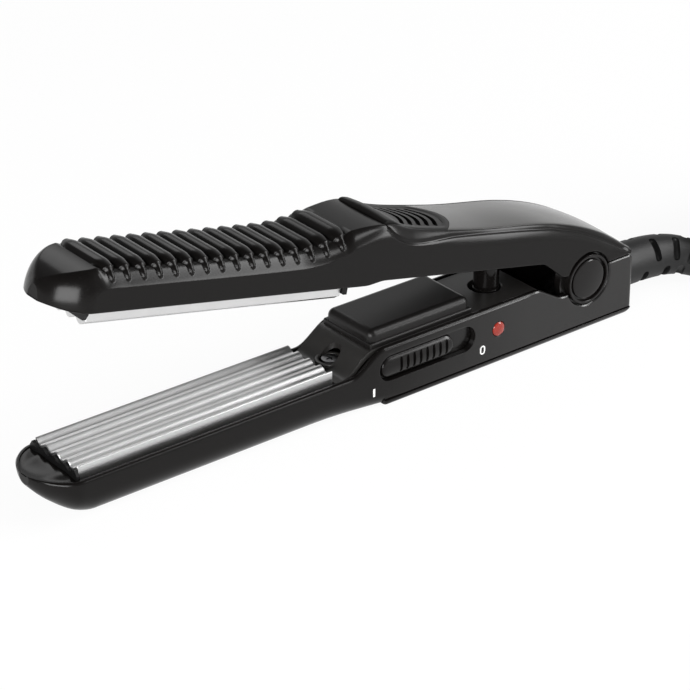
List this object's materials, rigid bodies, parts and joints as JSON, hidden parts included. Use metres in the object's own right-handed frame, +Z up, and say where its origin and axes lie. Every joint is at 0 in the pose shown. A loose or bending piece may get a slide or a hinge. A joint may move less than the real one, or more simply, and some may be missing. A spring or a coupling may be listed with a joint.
{
  "type": "hair crimper",
  "caption": "Corded hair crimper with two sprung arms, ridged metal plates, a ribbed upper jaw, a slide switch and a red lamp.",
  "frame": {"origin": "On the table, under the middle of the two arms, without the lead", "axes": "+X from the nose to the lead, +Z up, Y across the arms, right-handed; the switch is on the -Y side"},
  "size_m": [0.4504, 0.056, 0.0802],
  "materials": {
    "black_gloss": "glossy moulded",
    "black_satin": "satin moulded",
    "panel_gloss": "polished",
    "aluminium_plate": "satin, ridged",
    "heater_ceramic": "pale fired element",
    "carrier_resin": "heat-proof resin",
    "steel": "plain steel",
    "lamp_red": "clear red lens",
    "lamp_glass": "neon bulb",
    "boot_rubber": "matte flexible",
    "cord_jacket": "matte flexible",
    "brass_pin": "nickel plated brass"
  },
  "bodies": {
    "lower_arm": {"lower_shell": "black_gloss", "bottom_cover": "black_gloss", "bottom_screws": "steel", "lower_plate": "aluminium_plate", "lower_heater": "heater_ceramic", "lower_carrier": "carrier_resin", "lower_retainer": "black_satin", "inner_cover": "black_satin", "cover_screw": "steel", "stop_block": "black_gloss", "switch_body": "black_satin", "indicator_lens": "lamp_red", "indicator_lamp": "lamp_glass", "hinge_pin": "steel", "hinge_caps": "black_gloss", "spring_post": "black_satin", "return_spring": "steel", "strain_relief": "boot_rubber", "cord_tube": "cord_jacket", "cord_coil": "cord_jacket", "coil_tie": "black_satin", "plug_body": "black_satin", "plug_pins": "brass_pin"},
    "upper_arm": {"upper_shell": "black_gloss", "thumb_pad": "black_satin", "top_panel": "panel_gloss", "upper_plate": "aluminium_plate", "upper_heater": "heater_ceramic", "upper_carrier": "carrier_resin", "upper_retainer": "black_satin", "upper_liner": "black_satin", "liner_screws": "steel", "spring_tube": "black_satin"},
    "switch": {"switch_knob": "black_satin"}
  },
  "joints": [
    {"name": "arm_hinge", "type": "hinge", "parent": "lower_arm", "child": "upper_arm", "pos_m": [0.09725, 0, 0.0185], "axis": [0, -1, 0], "range_deg": [0, 13.1], "stiffness_Nm_per_rad": 0.5, "springref_deg": -20.05, "deforming": ["return_spring"]},
    {"name": "switch_slide", "type": "slide", "parent": "lower_arm", "child": "switch", "axis": [1, 0, 0], "range_m": [0, 0.008]}
  ]
}
